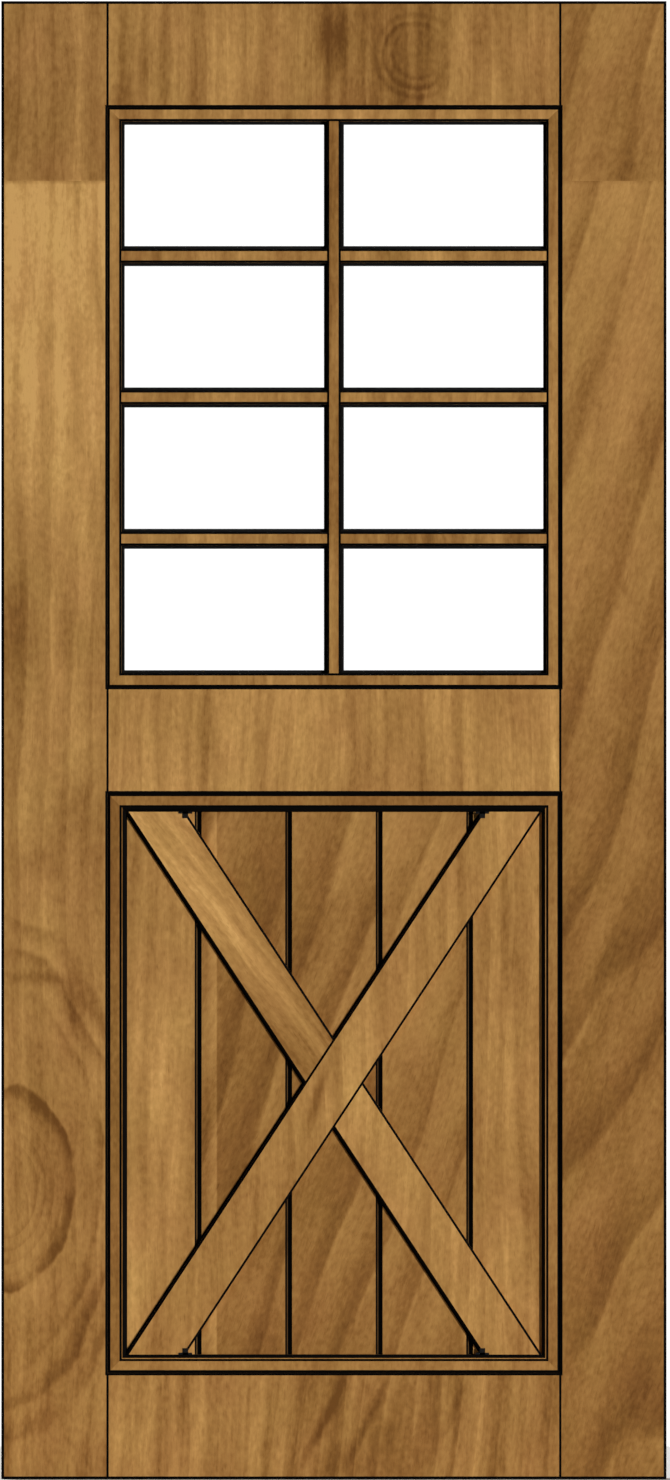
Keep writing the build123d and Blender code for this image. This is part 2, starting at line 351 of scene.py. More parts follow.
def wander(tree, point):
    """Moves points by slow noise, most across the grain."""
    drift = noise(tree, point, **WANDER_GRAIN).outputs["Color"]
    offset = calc_vector(tree, "SUBTRACT", drift, (NOISE_MIDDLE, NOISE_MIDDLE, NOISE_MIDDLE))
    return calc_vector(tree, "ADD", point, calc_vector(tree, "MULTIPLY", offset, WANDER_REACH))


def past_joint(tree, point, joint_height):
    """Above an end joint the timber is another piece, so its pattern comes from elsewhere."""
    above = calc(tree, "GREATER_THAN", part_of(tree, point, "Z"), joint_height)
    return calc_vector(tree, "ADD", point, scale_vector(tree, OTHER_TREE, above))


print("the grain wanders over", WANDER_REACH, "metres")

# %% [markdown]
# ## Knots and stains
# A knot is rings round a heart. Drawn as plain circles they would look like a target, so noise ripples their
# count and opens gaps in them. A knot without rings is a stain, a soft dark patch, or a pale one where its
# number is negative.

# %% Knots and stains
RIPPLE_GRAIN = {"turns": (13.0, 13.0, 8.0), "detail": 3.0}
GAP_GRAIN = {"turns": (11.0, 11.0, 9.0), "detail": 1.0}
HEART_EDGE = 0.01


def knot_rings(tree, bent, distance, knot):
    """The dark of a knot's rings, outside its heart."""
    ripple = field(tree, bent, RIPPLE_GRAIN)
    count = weighted(tree, calc(tree, "DIVIDE", distance, knot["ring"]), ripple, NOISE_MIDDLE, knot["ripple"])
    rings = late_wood(tree, calc(tree, "ADD", count, knot["phase"]), knot["start"], knot["peak"])
    past_heart = smooth_step(tree, distance, knot["heart"] - HEART_EDGE, knot["heart"] + HEART_EDGE)
    unbroken = smooth_step(tree, field(tree, bent, GAP_GRAIN), *knot["gaps"])
    return calc(tree, "MULTIPLY", rings, calc(tree, "MULTIPLY", past_heart, unbroken))


def knot_shade(tree, point, bent, knot):
    """What a knot adds to the tone: its rings and its stain, full in its core and gone at its radius."""
    away = turn_back(tree, calc_vector(tree, "SUBTRACT", point, knot["centre"]), knot["turn"])
    distance = length_of(tree, calc_vector(tree, "MULTIPLY", away, knot["squash"]))
    strength = smooth_step(tree, distance, knot["radius"], knot["radius"] * knot["core"])
    shade = -knot["stain"]
    if knot["contrast"]:
        shade = calc(tree, "MULTIPLY_ADD", knot_rings(tree, bent, distance, knot), -knot["contrast"], shade)
    return calc(tree, "MULTIPLY", shade, strength)


print("a knot's heart fades out over", 2 * HEART_EDGE, "metres")

# %% [markdown]
# ## Bevels in a dark glaze, and painted shade beside some edges
# Every arris, V-joint and lip on this door reads as a dark line. They are real bevels, and a joiner gets
# such lines by rubbing dark glaze into them and wiping the flats clean. On this door all the flats face
# straight out or straight sideways, so the bevels are the faces that do neither. In the plank joints the
# glaze is a little rubbed. Beside some edges the same near-black is painted on the flat as shade: one-sided
# strips that stand in for shadow.

# %% Glaze
# near-black of the bevel glaze, also used as the painted shade of the strips
GLAZE_AND_PAINTED_SHADE = srgb(5, 4, 3)
SIDEWAYS_EDGES, OUTWARD_EDGES = (0.2, 0.4), (0.97, 0.85)
WORN_EDGES = (0.0007, 0.0001)
WORN_SHARE = 0.35
SHADE_STRIP_FADE = 0.8


def bevel_mask(tree):
    """1 on bevels, 0 on faces that are square to the door."""
    normal = add(tree, "ShaderNodeNewGeometry").outputs["True Normal"]
    outward = calc(tree, "ABSOLUTE", part_of(tree, normal, "Y"))
    not_sideways = smooth_step(tree, outward, *SIDEWAYS_EDGES)
    return calc(tree, "MULTIPLY", not_sideways, smooth_step(tree, outward, *OUTWARD_EDGES))


def unworn(tree, point, across):
    """The share of glaze that is left: less along an upright line, where it is rubbed, and 1 beside it."""
    offset = calc(tree, "ABSOLUTE", calc(tree, "SUBTRACT", part_of(tree, point, "X"), across))
    return calc(tree, "MULTIPLY_ADD", smooth_step(tree, offset, *WORN_EDGES), -WORN_SHARE, 1.0)


def gathered_glaze(tree, point, start, end, width):
    """1 on a strip of this width to the left of a line on the door, painted as shade, and 0 elsewhere."""
    course = (end - start).normalized()
    leftwards = Vector((-course.z, 0, course.x))
    away = {0: calc_vector(tree, "SUBTRACT", point, start), 1: leftwards}
    distance = add(tree, "ShaderNodeVectorMath", away, operation="DOT_PRODUCT").outputs["Value"]
    beside = calc(tree, "GREATER_THAN", distance, -width)
    return calc(tree, "MULTIPLY", beside, smooth_step(tree, distance, width, SHADE_STRIP_FADE * width))


def board_glaze_and_shade(tree, point, board):
    """The share of near-black on a board: glaze on its bevels, less where it is worn, and painted shade
    strips.
    """
    glaze_and_shade = bevel_mask(tree)
    if board["worn"] is not None:
        glaze_and_shade = calc(tree, "MULTIPLY", glaze_and_shade, unworn(tree, point, board["worn"]))
    # painted shade: one-sided dark strips beside some edges, standing in for shadow
    for strip in board["gathered"]:
        glaze_and_shade = calc(tree, "MAXIMUM", glaze_and_shade, gathered_glaze(tree, point, *strip))
    return glaze_and_shade


print("glaze:", [round(v, 4) for v in GLAZE_AND_PAINTED_SHADE])

# %% [markdown]
# ## One board
# A board is a dictionary: a plain board, with what is changed on this one. Its coordinates are turned along
# its grain first. Then its fields are added up to a tone, each with a weight: broad shifts, streaks,
# blotches, speckle and rings, with short ticks, fibres and pores as the finest detail. One timber for the
# whole door would be shorter, but then all its boards would be cut from one plank.

# %% A board's grain
def board_grain(tree, point, board):
    """Bends a board's coordinates, and returns them along its grain, with the shades of its knots."""
    shift = Vector(board["shift"])
    bent = calc_vector(tree, "ADD", point, shift)
    if board["joint"] is not None:
        bent = past_joint(tree, bent, board["joint"] + shift.z)
    bent = wander(tree, bent)
    shades = [knot_shade(tree, point, bent, knot) for knot in board["knots"]]
    from_pith = calc_vector(tree, "SUBTRACT", bent, Vector(board["pith"]) + shift)
    return turn_back(tree, from_pith, board["lean"]), shades


print("a board's grain: shifted, jointed, bent, then turned along its pith")

# %% A board's rings
ACROSS_GRAIN = (1, 1, 0)
RING_DRIFT = 2.0
EARLY_SHARE, EARLY_GAPS = 0.45, (0.4, 0.62)


def board_rings(tree, point, grain, board, broad, blotches):
    """The dark of a board's rings, less their pale early wood, which comes and goes with the blotches."""
    reach = length_of(tree, calc_vector(tree, "MULTIPLY", grain, ACROSS_GRAIN))
    if board["fan"] is not None:
        reach = calc(tree, "ADD", reach, fan_out(tree, point, *board["fan"]))
    count = calc(tree, "MULTIPLY_ADD", broad, RING_DRIFT, calc(tree, "DIVIDE", reach, board["ring"]))
    pale = calc(tree, "MULTIPLY", early_wood(tree, count), smooth_step(tree, blotches, *EARLY_GAPS))
    return calc(tree, "MULTIPLY_ADD", pale, -EARLY_SHARE, late_wood(tree, count, board["start"], RING_PEAK))


print("rings drift by up to", RING_DRIFT, "widths")

# %% A board's tone
BROAD_GRAIN = {"turns": (6.0, 6.0, 1.2), "detail": 2.0}
STREAK_GRAIN = {"turns": (46.0, 46.0, 1.7), "detail": 3.0, "roughness": 0.55}
FIGURE_GRAIN = {"turns": (22.0, 22.0, 6.0), "detail": 4.0, "roughness": 0.52}
SPECKLE_GRAIN = {"turns": (180.0, 180.0, 100.0), "detail": 2.0}
TICK_GRAIN = {"turns": (150.0, 150.0, 24.0), "detail": 1.0}
TICK_EDGES = (0.58, 0.74)
RING_MIDDLE, TICK_MIDDLE, PORE_MIDDLE = 0.3, 0.1, 0.0
BROAD_WEIGHT, STREAK_WEIGHT, SPECKLE_WEIGHT = 0.3, 0.9, 0.44
TICK_WEIGHT, FIBRE_WEIGHT, PORE_WEIGHT = -0.08, 0.06, -0.14


def board_tone(tree, point, grain, board, fibres, pores):
    """Adds up what makes a board lighter or darker, apart from its knots."""
    broad = field(tree, grain, BROAD_GRAIN)
    blotches = field(tree, grain, FIGURE_GRAIN)
    rings = board_rings(tree, point, grain, board, broad, blotches)
    ticks = smooth_step(tree, field(tree, grain, TICK_GRAIN), *TICK_EDGES)
    total = tone_along(tree, point, *board["tones"]) if board["tones"] else board["tone"]
    for value, middle_value, weight in (
        (broad, NOISE_MIDDLE, BROAD_WEIGHT),
        (field(tree, grain, STREAK_GRAIN), NOISE_MIDDLE, STREAK_WEIGHT * board["streaks"]),
        (blotches, NOISE_MIDDLE, board["figure"]),
        (field(tree, grain, SPECKLE_GRAIN), NOISE_MIDDLE, SPECKLE_WEIGHT),
        (rings, RING_MIDDLE, -board["flame"]),
        (ticks, TICK_MIDDLE, TICK_WEIGHT),
        (fibres, NOISE_MIDDLE, FIBRE_WEIGHT),
        (pores, PORE_MIDDLE, PORE_WEIGHT),
    ):
        total = weighted(tree, total, value, middle_value, weight)
    return total


print("weights of the broad, the streaked and the speckled:", BROAD_WEIGHT, STREAK_WEIGHT, SPECKLE_WEIGHT)

# %% A board's surface
WOOD_GLOSS = 0.06
FLAT_ROUGHNESS, FIBRE_GLOSS, PORE_ROUGHNESS, GLAZE_AND_SHADE_ROUGHNESS = 0.68, -0.22, 0.12, 0.9
PORE_DEPTH, RELIEF_STRENGTH, RELIEF_HEIGHT = -0.7, 0.2, 0.0006


def board_surface(tree, shader, fibres, pores, glaze_and_shade):
    """A board's sheen and fine relief: fibres shine, pores, glaze and painted shade are dull, pores are sunk.
    """
    rough = calc(tree, "MULTIPLY_ADD", fibres, FIBRE_GLOSS, FLAT_ROUGHNESS)
    rough = calc(tree, "MULTIPLY_ADD", pores, PORE_ROUGHNESS, rough)
    rough = calc(tree, "MAXIMUM", rough, calc(tree, "MULTIPLY", glaze_and_shade, GLAZE_AND_SHADE_ROUGHNESS))
    tree.links.new(rough, shader.inputs["Roughness"])
    shader.inputs["Specular IOR Level"].default_value = WOOD_GLOSS
    relief = calc(tree, "MULTIPLY_ADD", pores, PORE_DEPTH, fibres)
    bump = add(tree, "ShaderNodeBump", {
        "Height": relief, "Strength": RELIEF_STRENGTH, "Distance": RELIEF_HEIGHT,
    })
    tree.links.new(bump.outputs[0], shader.inputs["Normal"])


print("roughness of bare wood:", FLAT_ROUGHNESS, "and of glaze:", GLAZE_AND_SHADE_ROUGHNESS)

# %% A board's timber
PLAIN_BOARD = {
    "tone": 0.5, "tones": None, "pith": (-0.3, 0.35, 0.0), "lean": 0.0, "ring": 0.024, "flame": 0.08,
    "start": 0.25, "fan": None, "shift": (0, 0, 0), "figure": 0.7, "streaks": 1.0, "knots": (),
    "joint": None, "worn": None, "gathered": (),
}
FIBRE_GRAIN = {"turns": (420.0, 420.0, 15.0), "detail": 2.0}
PORE_GRAIN = {"turns": (1500.0, 1500.0, 60.0), "detail": 1.0}
PORE_EDGES = (0.60, 0.74)
HUE_GRAIN = {"turns": (16.0, 16.0, 9.0), "detail": 2.0}
PLAIN_HUE, HUE_SWING = 0.5, 0.014


def new_finish(name):
    """A new material, with its graph, its shader and the coordinates of the piece that wears it."""
    material = bpy.data.materials.new(name)
    material.use_nodes = True
    tree = material.node_tree
    point = add(tree, "ShaderNodeTexCoord").outputs["Object"]
    return material, tree, tree.nodes["Principled BSDF"], point


def timber(name, **changes):
    """The finish of one board: a plain one, with changes to its tone, pith, rings, figure, knots, glaze or
    painted shade.
    """
    board = {**PLAIN_BOARD, **changes}
    material, tree, shader, point = new_finish(name)
    grain, shades = board_grain(tree, point, board)
    fibres = field(tree, grain, FIBRE_GRAIN)
    pores = smooth_step(tree, field(tree, grain, PORE_GRAIN), *PORE_EDGES)
    tone = board_tone(tree, point, grain, board, fibres, pores)
    for shade in shades:
        tone = calc(tree, "ADD", tone, shade)
    hue = weighted(tree, PLAIN_HUE, field(tree, grain, HUE_GRAIN), NOISE_MIDDLE, HUE_SWING)
    colours = {"Hue": hue, "Color": ramp(tree, tone, WOOD_TONES)}
    brown = add(tree, "ShaderNodeHueSaturation", colours).outputs[0]
    glaze_and_shade = board_glaze_and_shade(tree, point, board)
    # base colour: brown, with near-black on the glazed bevels and on the painted shade strips
    tree.links.new(mix_colours(tree, glaze_and_shade, brown, GLAZE_AND_PAINTED_SHADE), shader.inputs["Base Color"])
    board_surface(tree, shader, fibres, pores, glaze_and_shade)
    return material


print("settings of a board:", len(PLAIN_BOARD))

# %% [markdown]
# ## Tones board by board
# The picture's boards differ: a light stile and a dark one, each with an end joint near its top where the
# tone changes, pale outer planks round three flamed ones, a knot in the top rail. Tones and knots are placed
# by pixels of the picture, and turned into places on the door. A tone stop is a pixel row or column and the
# tone there, set by trying it and comparing the render with the picture.

# %% Placing tones and knots
PLAIN_KNOT = {
    "core": 0.0, "squash": (1.0, 0.4, 1.0), "turn": 0.0, "phase": 0.0, "peak": RING_PEAK, "gaps": (0.3, 0.62),
    "contrast": 0.0, "stain": 0.0,
}


def dress(node, material):
    """Gives a piece its finish."""
    nodes[node].data.materials.clear()
    nodes[node].data.materials.append(material)


def cut_place(start, step, index):
    """Where in the tree the next board of a row is cut, as a shift, so that no two are alike."""
    return tuple(place + index * stride for place, stride in zip(start, step))


def knot_at(pixel, **changes):
    """A knot at a pixel of the picture; one with a stain and no contrast is only a patch."""
    return {**PLAIN_KNOT, "centre": picture_point(*pixel), **changes}


def down_tones(rows):
    """Tone stops by pixel row, as (axis, stops in metres), lowest first."""
    return "Z", sorted((picture_point(0, row).z, tone) for row, tone in rows)


def across_tones(columns):
    """Tone stops by pixel column, as (axis, stops in metres)."""
    return "X", [(picture_point(column, 0).x, tone) for column, tone in columns]


print("usual settings of a knot:", len(PLAIN_KNOT))

# %% Swirl and clouds in the left stile
SWIRL_PIXEL, OUTER_SWIRL_PIXEL = (5, 1189), (5, 1178)
SWIRL_SQUASH = (1.0, 0.3, 0.66)
inner_swirl = knot_at(
    SWIRL_PIXEL, radius=0.118, core=0.85, squash=SWIRL_SQUASH, ring=0.045, ripple=0.7, phase=-0.16,
    start=0.55, heart=0.074, contrast=0.48,
)
swirl_lines = knot_at(
    SWIRL_PIXEL, radius=0.09, core=0.8, squash=SWIRL_SQUASH, ring=0.0115, ripple=0.9, start=0.2,
    heart=0.035, contrast=0.12,
)
outer_swirl = knot_at(
    OUTER_SWIRL_PIXEL, radius=0.2, core=0.8, squash=(1.0, 0.3, 0.5), ring=0.025, ripple=1.4, phase=0.62,
    start=0.1, peak=0.75, gaps=(0.25, 0.6), heart=0.126, contrast=0.3,
)
STILE_CLOUDS = (
    {"pixel": (12, 640), "radius": 0.08, "squash": (1.7, 0.4, 0.6), "stain": 0.26},
    {"pixel": (68, 720), "radius": 0.09, "squash": (2.4, 0.4, 0.6), "stain": -0.16},
    {"pixel": (35, 862), "radius": 0.05, "squash": (0.9, 0.4, 1.2), "stain": 0.16},
    {"pixel": (32, 978), "radius": 0.06, "squash": (0.8, 0.4, 3.6), "stain": 0.24},
    {"pixel": (78, 1000), "radius": 0.045, "squash": (2.4, 0.4, 0.9), "turn": -0.6, "stain": 0.2},
)
stile_knots = [inner_swirl, swirl_lines, outer_swirl, *(knot_at(**cloud) for cloud in STILE_CLOUDS)]
print("knots and clouds in the left stile:", len(stile_knots))

# %% Stiles
STILE_JOINT_ROW = 181
LEFT_STILE_ROWS = (
    (0, 0.57), (180, 0.57), (182, 0.94), (400, 0.87), (640, 0.53), (900, 0.55), (1200, 0.52), (1480, 0.43),
)
RIGHT_STILE_ROWS = (
    (0, 0.41), (180, 0.41), (182, 0.58), (400, 0.51), (700, 0.41), (1050, 0.28), (1480, 0.34),
)
FAN_PIXEL, FAN_SPREAD, FAN_SLOPE = (615, 840), 0.5, 0.1
stile_joint = picture_point(0, STILE_JOINT_ROW).z
dress("left_stile", timber(
    "left_stile_oak", shift=(0.3, 0.1, 0.7), joint=stile_joint, pith=(-0.25, 0.3, 0.0), streaks=0.75,
    knots=stile_knots, tones=down_tones(LEFT_STILE_ROWS),
))
dress("right_stile", timber(
    "right_stile_oak", shift=(0.9, 0.2, 1.3), joint=stile_joint, pith=(0.5, 0.12, 2.0), lean=0.28, ring=0.08,
    flame=0.19, start=0.4, figure=0.5, streaks=0.25, tones=down_tones(RIGHT_STILE_ROWS),
    fan=(picture_point(*FAN_PIXEL), FAN_SPREAD, FAN_SLOPE),
))
print("stiles jointed at", round(stile_joint, 3))

# %% Top and lock rails
TOP_KNOT_PIXEL, TOP_STAIN_PIXEL = (416, 56), (336, 36)
TOP_RAIL_COLUMNS = (
    (107, 0.57), (290, 0.56), (320, 0.39), (350, 0.34), (420, 0.4), (470, 0.52), (560, 0.54),
)
LOCK_RAIL_COLUMNS = ((107, 0.69), (560, 0.6))
top_knot = knot_at(
    TOP_KNOT_PIXEL, radius=0.068, core=0.7, ring=0.0137, ripple=1.3, phase=0.4, start=0.0, peak=0.6,
    gaps=(0.25, 0.55), heart=0.026, contrast=0.3,
)
top_stain = knot_at(TOP_STAIN_PIXEL, radius=0.075, squash=(2.2, 0.4, 0.9), stain=0.42)
dress("top_rail", timber(
    "top_rail_oak", shift=(0.15, 0.4, 0.2), knots=[top_knot, top_stain],
    tones=across_tones(TOP_RAIL_COLUMNS),
))
dress("lock_rail", timber(
    "lock_rail_oak", shift=(0.45, 0.6, 0.9), tones=across_tones(LOCK_RAIL_COLUMNS),
))
print("rails dressed: top and lock")

# %% Bottom rail
BOTTOM_STREAKS = (((322, 1425), 0.4), ((368, 1421), 0.36), ((452, 1412), 0.15))
BOTTOM_STAIN_PIXEL = (342, 1462)
BOTTOM_RAIL_COLUMNS = ((107, 0.54), (290, 0.5), (345, 0.36), (430, 0.38), (560, 0.45))
bottom_knots = [
    knot_at(pixel, radius=0.1, squash=(9.0, 0.4, 1.0), turn=0.45, stain=stain)
    for pixel, stain in BOTTOM_STREAKS
]
bottom_knots.append(knot_at(BOTTOM_STAIN_PIXEL, radius=0.04, stain=0.2))
dress("bottom_rail", timber(
    "bottom_rail_oak", shift=(0.75, 0.2, 0.5), knots=bottom_knots, lean=0.1, flame=0.12, ring=0.03,
    tones=across_tones(BOTTOM_RAIL_COLUMNS),
))
print("dark streaks in the bottom rail:", len(BOTTOM_STREAKS))

# %% [markdown]
# ## The panel
# The field is what the mouldings leave free of the planks. Painted shade lies on the planks to the left of
# each brace and beside the left moulding, and in the lips of two mouldings: near-black strips that stand in
# for shadow. A strip is a line and a width, and lies to the left of the line for someone who walks along it.

# %% Strips of painted shade
# widths of the painted shade strips
BRACE_SHADE_STRIP, PLANK_SHADE_STRIP = 0.003, 0.0016
TOP_LIP_SHADE_STRIP, LEFT_LIP_SHADE_STRIP = 0.0075, 0.0055
LEVEL_TOLERANCE = 0.001
field_left, field_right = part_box("left_moulding_front")[1].x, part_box("right_moulding_front")[0].x
field_low, field_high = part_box("bottom_moulding_front")[1].z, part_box("top_moulding_front")[0].z
brace_corners = [vertex.co for vertex in nodes["through_brace_back"].data.vertices]
brace_end = max(corner.x for corner in brace_corners if corner.z < field_low + LEVEL_TOLERANCE) - field_left
far_corner = field_right - brace_end
low_left, high_left = Vector((field_left, 0, field_low)), Vector((field_left, 0, field_high))
high_right = Vector((field_right, 0, field_high))
# painted shade on the planks: left of both braces, and beside the left moulding
SHADE_ON_PLANKS = (
    (low_left, Vector((far_corner, 0, field_high)), BRACE_SHADE_STRIP),
    (Vector((far_corner, 0, field_low)), high_left, BRACE_SHADE_STRIP),
    (high_left, low_left, PLANK_SHADE_STRIP),
)
# painted shade in the lips of the left and top mouldings
SHADE_IN_LIPS = {
    "left": [(low_left, high_left, LEFT_LIP_SHADE_STRIP)],
    "top": [(high_left, high_right, TOP_LIP_SHADE_STRIP)],
}
print("brace ends:", round(1000 * brace_end, 1), "mm wide")

# %% Planks
WORN_OFFSET = 0.0018
PLANK_START, PLANK_STEP = (0.0, 0.3, 0.0), (0.2, 0.0, 0.37)
SAPWOOD_COLUMNS = ((199, 0.33), (206, 0.3), (211, 0.47), (216, 0.58), (217.5, 0.26), (290, 0.31))
THIRD_PLANK_ROWS = ((800, 0.38), (1360, 0.33))
FOURTH_PLANK_ROWS = ((800, 0.52), (1100, 0.42), (1360, 0.36))
FLAMED = {"lean": 0.34, "ring": 0.066, "flame": 0.2, "start": 0.4, "figure": 0.55, "streaks": 0.25}
PLANKS = (
    {"tone": 0.61},
    {**FLAMED, "tones": across_tones(SAPWOOD_COLUMNS), "pith": (0.16, 0.1, 0.6)},
    {**FLAMED, "tones": down_tones(THIRD_PLANK_ROWS), "pith": (0.22, 0.1, 0.6)},
    {**FLAMED, "tones": down_tones(FOURTH_PLANK_ROWS), "pith": (0.28, 0.1, 0.6), "lean": 0.27, "flame": 0.18},
    {"tone": 0.58},
)
panel_left, panel_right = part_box("left_stile")[1].x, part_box("right_stile")[0].x
plank_pitch = (panel_right - panel_left) / len(PLANKS)
for index, plank in enumerate(PLANKS):
    name = f"plank_{index + 1}"
    shift = cut_place(PLANK_START, PLANK_STEP, index)
    worn = panel_left + (index + 1) * plank_pitch - WORN_OFFSET
    # each plank carries the painted shade strips beside the braces and the left moulding
    dress(name, timber(f"{name}_oak", shift=shift, worn=worn, gathered=SHADE_ON_PLANKS, **plank))
print("planks:", len(PLANKS), "of", round(1000 * plank_pitch, 1), "mm")

# %% Mouldings
MOULDING_TONES = {"left": 0.26, "right": 0.34, "top": 0.37, "bottom": 0.48}
MOULDING_START, MOULDING_STEP = (0.5, 0.0, 1.1), (0.0, 0.3, 0.0)
FACES = ("front", "back")
for face in FACES:
    for index, (edge, tone) in enumerate(MOULDING_TONES.items()):
        name = f"{edge}_moulding_{face}"
        # the left and top mouldings carry painted shade in their lips
        dress(name, timber(
            f"{name}_oak", tone=tone, figure=0.5, streaks=0.3, flame=0.0, gathered=SHADE_IN_LIPS.get(edge, ()),
            shift=cut_place(MOULDING_START, MOULDING_STEP, index),
        ))
print("mouldings:", len(FACES) * len(MOULDING_TONES))

# %% Braces
BRACE_STREAK_PIXEL = (317, 1098)
THROUGH_BRACE_ROWS = ((810, 0.61), (1080, 0.6), (1350, 0.49))
UPPER_BRACE_ROWS = ((800, 0.88), (930, 0.66), (1040, 0.36))
LOWER_BRACE_ROWS = ((1090, 0.72), (1350, 0.52))
brace_streak = knot_at(BRACE_STREAK_PIXEL, radius=0.09, squash=(8.0, 0.4, 1.0), turn=0.31, stain=0.3)
BRACES = {
    "through_brace": {
        "tones": down_tones(THROUGH_BRACE_ROWS), "shift": (1.3, 0.2, 0.9), "figure": 0.4,
        "knots": [brace_streak],
    },
    "upper_half_brace": {
        "tones": down_tones(UPPER_BRACE_ROWS), "shift": (1.7, 0.9, 1.6), "lean": -0.64, "figure": 0.2,
        "streaks": 1.2,
    },
    "lower_half_brace": {"tones": down_tones(LOWER_BRACE_ROWS), "shift": (2.1, 0.5, 0.8), "figure": 0.4},
}
for face in FACES:
    for brace, finish in BRACES.items():
        dress(f"{brace}_{face}", timber(f"{brace}_{face}_oak", **finish))
print("braces:", len(FACES) * len(BRACES))

# %% Sash, bars and beads
SASH_TONES = {
    "left_sash_member": 0.46, "right_sash_member": 0.42, "top_sash_member": 0.63, "bottom_sash_member": 0.52,
    "upright_glazing_bar": 0.44, "right_glazing_bar_1": 0.42,
}
USUAL_SASH_TONE = 0.57
SASH_START, SASH_STEP = (0.0, 0.17, 0.0), (0.31, 0.0, 0.43)
SASH_STAIN_PIXEL = (337, 677)
sash_stain = knot_at(SASH_STAIN_PIXEL, radius=0.06, stain=0.2)
sash_pieces = sorted(node for node in nodes if "sash" in node or "glazing" in node)
for index, node in enumerate(sash_pieces):
    tone = SASH_TONES.get(node, USUAL_SASH_TONE)
    knots = [sash_stain] if node == "bottom_sash_member" else []
    shift = cut_place(SASH_START, SASH_STEP, index)
    dress(node, timber(f"{node}_oak", tone=tone, knots=knots, shift=shift))
print("timbers:", sum(material.name.endswith("_oak") for material in bpy.data.materials))

# %% [markdown]
# ## Glass
# The panes are clear float glass, so the white surround shows through. Real panes are never quite flat or
# quite clean: a slow ripple bends their reflections, and a faint smear dulls them in places.

# %% Panes
GLASS_TINT, GLASS_IOR = (0.985, 0.995, 0.99, 1), 1.5
SMEAR_GRAIN = {"turns": (9.0, 9.0, 14.0), "detail": 4.0}
SMEAR_EDGES, SMEAR_ROUGHNESS = (0.5, 0.8), 0.06
PANE_GRAIN = {"turns": (7.0, 7.0, 5.0), "detail": 1.0}
PANE_STRENGTH, PANE_RIPPLE = 0.1, 0.0005
pane_glass, tree, shader, point = new_finish("pane_glass")
shader.inputs["Base Color"].default_value = GLASS_TINT
shader.inputs["IOR"].default_value = GLASS_IOR
shader.inputs["Transmission Weight"].default_value = 1.0
smear = smooth_step(tree, field(tree, point, SMEAR_GRAIN), *SMEAR_EDGES)
tree.links.new(calc(tree, "MULTIPLY", smear, SMEAR_ROUGHNESS), shader.inputs["Roughness"])
ripple = field(tree, point, PANE_GRAIN)
bump = add(tree, "ShaderNodeBump", {"Height": ripple, "Strength": PANE_STRENGTH, "Distance": PANE_RIPPLE})
tree.links.new(bump.outputs[0], shader.inputs["Normal"])
panes = [node for node in nodes if node.endswith("_pane")]
for node in panes:
    dress(node, pane_glass)
print("panes:", len(panes))

# %% [markdown]
# ## A tree for what repeats
# Eight panes need the same seal on both faces, and a hundred pins. Copies could be placed by a loop, but a
# Geometry Nodes tree keeps the rule in one place: make one, put it on a grid of points, realize the copies.
# The first helper below makes an empty tree with named inputs. Another runs a tree on an empty mesh, keeps
# the result as a plain mesh, and hangs it on the door.

# %% Geometry tree helpers
def geometry_tree(name, sizes):
    """An empty Geometry Nodes tree, and its named inputs: a place, a level, a finish and these sizes."""
    kinds = {"Grid Middle": "NodeSocketVector", "Level": "NodeSocketFloat", "Finish": "NodeSocketMaterial"}
    kinds.update((label, "NodeSocketFloat") for label in sizes)
    made = bpy.data.node_groups.new(name, "GeometryNodeTree")
    made.interface.new_socket("Geometry", in_out="OUTPUT", socket_type="NodeSocketGeometry")
    for label, kind in kinds.items():
        made.interface.new_socket(label, in_out="INPUT", socket_type=kind)
    return made, made.nodes.new("NodeGroupInput").outputs


def finish_tree(made, geometry, material):
    """Ends a tree: real copies, their material, the output."""
    real = add(made, "GeometryNodeRealizeInstances", {0: geometry}).outputs[0]
    painted = add(made, "GeometryNodeSetMaterial", {"Geometry": real, "Material": material}).outputs[0]
    add(made, "NodeGroupOutput", {0: painted})


def run_tree(made, values, name):
    """Runs a tree with these values, keeps its result as a plain mesh on the door, and returns the piece."""
    piece = bpy.data.objects.new(name, bpy.data.meshes.new(name))
    bpy.context.scene.collection.objects.link(piece)
    modifier = piece.modifiers.new(name, "NODES")
    modifier.node_group = made
    identifiers = {item.name: item.identifier for item in made.interface.items_tree if item.in_out == "INPUT"}
    for label, value in values.items():
        modifier[identifiers[label]] = value
    shown = piece.evaluated_get(bpy.context.evaluated_depsgraph_get())
    result = bpy.data.meshes.new_from_object(shown)
    piece.modifiers.clear()
    piece.data = result
    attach(piece, "root")
    return piece


def extent(piece):
    """The box round a piece's vertices, in millimetres to one place, for a printed check."""
    places = [vertex.co for vertex in piece.data.vertices]
    low = [min(place[axis] for place in places) for axis in range(3)]
    high = [max(place[axis] for place in places) for axis in range(3)]
    return [[round(1000 * metres, 1) for metres in corner] for corner in (low, high)]


print("helpers for trees: geometry_tree, finish_tree, run_tree, extent")

# %% Grids and faces
def grid_spots(made, width, height, columns, rows):
    """A flat grid of points, columns by rows, of this width and height."""
    settings = {"Size X": width, "Size Y": height, "Vertices X": columns, "Vertices Y": rows}
    return add(made, "GeometryNodeMeshGrid", settings).outputs["Mesh"]


def on_spots(made, spots, shape, turn=(0.0, 0.0, 0.0)):
    """Copies a shape to every point, with each copy turned."""
    settings = {"Points": spots, "Instance": shape, "Rotation": turn}
    return add(made, "GeometryNodeInstanceOnPoints", settings).outputs[0]


def moved(made, shape, offset):
    """A shape moved by an offset."""
    return add(made, "GeometryNodeTransform", {"Geometry": shape, "Translation": offset}).outputs[0]


